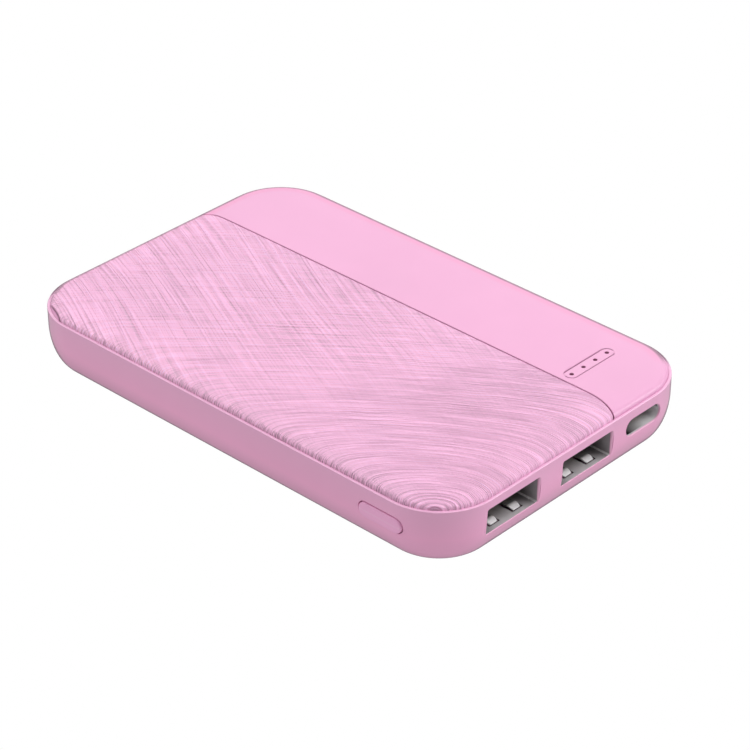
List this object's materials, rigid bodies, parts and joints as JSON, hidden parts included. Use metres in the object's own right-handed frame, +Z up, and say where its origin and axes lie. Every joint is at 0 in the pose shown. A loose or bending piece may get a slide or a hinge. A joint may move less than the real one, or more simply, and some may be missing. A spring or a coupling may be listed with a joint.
{
  "type": "power bank",
  "caption": "Slim rounded power bank with a ridged top panel, USB-A outlets, a USB-C inlet, a side power button and a dotted charge indicator.",
  "frame": {"origin": "centre of the flat underside", "axes": "+Z up through the top cover, +Y along the length away from the port end, +X across the width away from the power button"},
  "size_m": [0.0657, 0.1014, 0.0124],
  "materials": {
    "shell_plastic": "satin moulded ABS, fine grain",
    "cover_plastic": "satin moulded ABS, fine grain",
    "panel_plastic": "satin moulded ABS with fine moulded ridge relief",
    "button_plastic": "satin",
    "adhesive": "translucent acrylic tape",
    "light_pipe": "smoked translucent",
    "black_foam": "closed-cell foam",
    "black_plastic": "glass-filled nylon, matt",
    "white_plastic": "satin",
    "connector_steel": "nickel-plated stamped steel",
    "spring_steel": "stamped spring steel",
    "dome_steel": "polished",
    "board_green": "solder mask over glass-epoxy",
    "screw_steel": "black zinc plate",
    "chip_black": "moulded epoxy",
    "ferrite": "matt sintered",
    "copper": "enamelled wire",
    "capacitor_tan": "sintered",
    "resistor_black": "glazed",
    "led_white": "clear epoxy",
    "contact_gold": "gold flash",
    "pouch_foil": "satin laminate foil",
    "tab_aluminium": "bright foil",
    "tab_nickel": "nickel foil",
    "amber_tape": "polyimide foam tape",
    "red_wire": "silicone",
    "black_wire": "silicone"
  },
  "bodies": {
    "case": {"bottom_case": "shell_plastic", "top_cover": "cover_plastic", "texture_panel": "panel_plastic", "panel_adhesive": "adhesive", "indicator_plate": "cover_plastic", "light_guide": "light_pipe", "light_gasket": "black_foam", "switch_body": "black_plastic", "switch_frame": "spring_steel", "switch_dome": "dome_steel", "switch_terminals": "spring_steel", "main_board": "board_green", "board_screws": "screw_steel", "control_chip": "chip_black", "charge_chip": "chip_black", "inductor_core": "ferrite", "inductor_coil": "copper", "ceramic_capacitors": "capacitor_tan", "output_capacitors": "capacitor_tan", "resistors": "resistor_black", "status_leds": "led_white", "usb_a_shell_left": "connector_steel", "usb_a_shell_right": "connector_steel", "usb_a_tongue_left": "black_plastic", "usb_a_tongue_right": "black_plastic", "usb_a_contacts_left": "contact_gold", "usb_a_contacts_right": "contact_gold", "usb_c_shell": "connector_steel", "usb_c_tongue": "black_plastic", "usb_c_contacts": "contact_gold", "battery_cell": "pouch_foil", "positive_tab": "tab_aluminium", "negative_tab": "tab_nickel", "protection_board": "board_green", "protection_chips": "chip_black", "protection_tape": "amber_tape", "red_lead": "red_wire", "black_lead": "black_wire", "cell_adhesive_pads": "adhesive", "foam_strips": "black_foam"},
    "power_button": {"power_button": "button_plastic"},
    "switch_plunger": {"switch_plunger": "white_plastic"},
    "springs_left": {"usb_a_springs_left": "spring_steel"},
    "springs_right": {"usb_a_springs_right": "spring_steel"}
  },
  "joints": [
    {"name": "button_press", "type": "slide", "parent": "case", "child": "power_button", "axis": [1, 0, 0], "range_m": [0, 0.0003]},
    {"name": "switch_press", "type": "slide", "parent": "case", "child": "switch_plunger", "axis": [1, 0, 0], "range_m": [0, 0.0003]},
    {"name": "springs_left_flex", "type": "hinge", "parent": "case", "child": "springs_left", "pos_m": [-0.0158, -0.0444, 0.00439], "axis": [1, 0, 0], "range_deg": [0, 7]},
    {"name": "springs_right_flex", "type": "hinge", "parent": "case", "child": "springs_right", "pos_m": [0.003, -0.0444, 0.00439], "axis": [1, 0, 0], "range_deg": [0, 7]}
  ],
  "couplings": [
    {"joint": "switch_press", "follows": "button_press", "ratio": 1}
  ]
}
